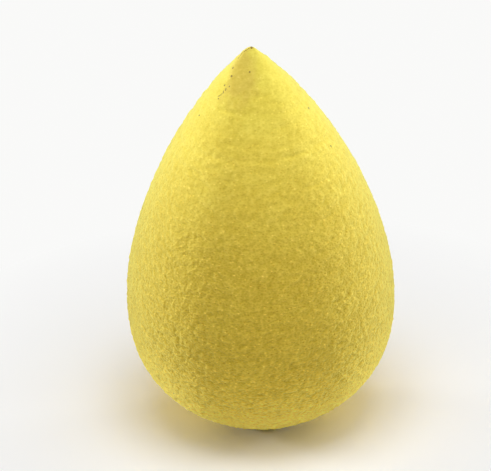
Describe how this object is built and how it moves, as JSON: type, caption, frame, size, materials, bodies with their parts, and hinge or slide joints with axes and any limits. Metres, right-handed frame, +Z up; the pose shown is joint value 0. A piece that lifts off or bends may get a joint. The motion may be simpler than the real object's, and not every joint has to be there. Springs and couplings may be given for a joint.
{
  "type": "makeup sponge",
  "caption": "Teardrop makeup sponge of soft open-cell foam, with a pointed tip, a round bowl and a small flat foot, for dabbing and blending make-up.",
  "frame": {"origin": "centre of the flat foot, on the surface that the sponge stands on", "axes": "+Z up along the sponge's axis to its tip, -Y towards the side seen in the picture, which has the flat on the tip"},
  "size_m": [0.04, 0.04, 0.0599],
  "materials": {
    "foam": "matte open-cell foam, ground surface"
  },
  "bodies": {
    "root": {"foam_body": "foam"}
  },
  "joints": []
}
